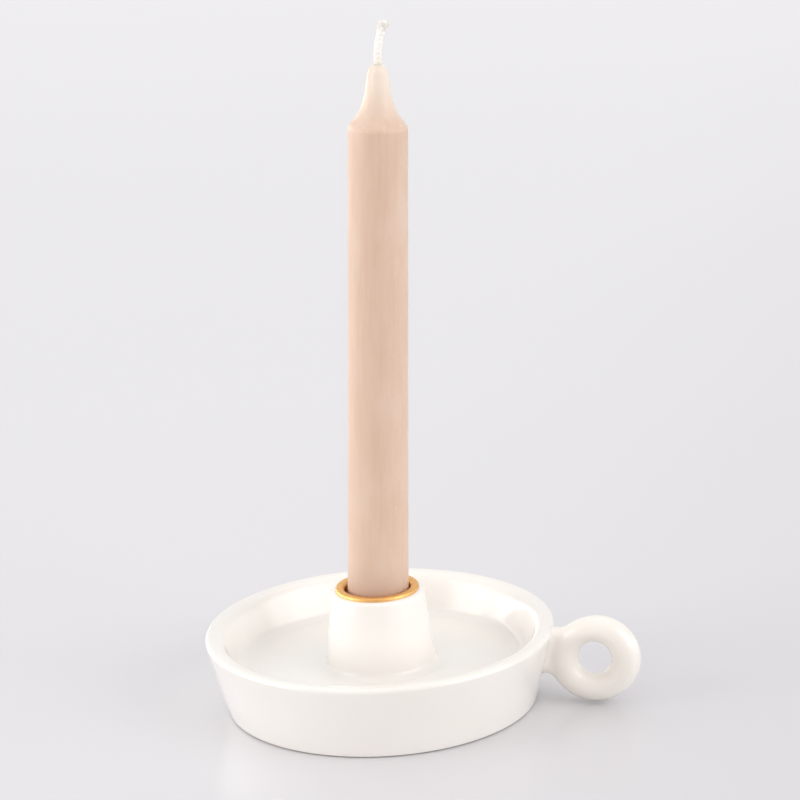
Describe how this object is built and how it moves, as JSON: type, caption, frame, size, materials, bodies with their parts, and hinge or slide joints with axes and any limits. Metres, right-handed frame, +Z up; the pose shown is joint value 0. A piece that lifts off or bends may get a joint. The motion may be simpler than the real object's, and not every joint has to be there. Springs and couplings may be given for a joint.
{
  "type": "candlestick",
  "caption": "Low round candlestick: a white lacquered wooden dish with a raised rim and finger ring, a tapered socket post lined with a brass cup, and a lift-out dinner candle.",
  "frame": {"origin": "on the dish's axis, on the surface that the candlestick stands on", "axes": "+Z up along the dish's axis, +X towards the finger ring"},
  "size_m": [0.1572, 0.126, 0.2464],
  "materials": {
    "lacquered_wood": "gloss",
    "bare_wood": "matte",
    "brass": "satin",
    "wax": "satin",
    "cotton": "matte",
    "felt": "matte"
  },
  "bodies": {
    "holder": {"felt_pad": "felt", "dish": "lacquered_wood", "socket_post": "lacquered_wood", "handle_ring": "lacquered_wood", "handle_dowel": "bare_wood", "candle_cup": "brass", "cup_screw": "brass"},
    "candle": {"candle": "wax", "wick": "cotton"}
  },
  "joints": [
    {"name": "candle_lift", "type": "slide", "parent": "holder", "child": "candle", "axis": [0.0529, 0, 0.9986], "range_m": [0, 0.03]}
  ]
}
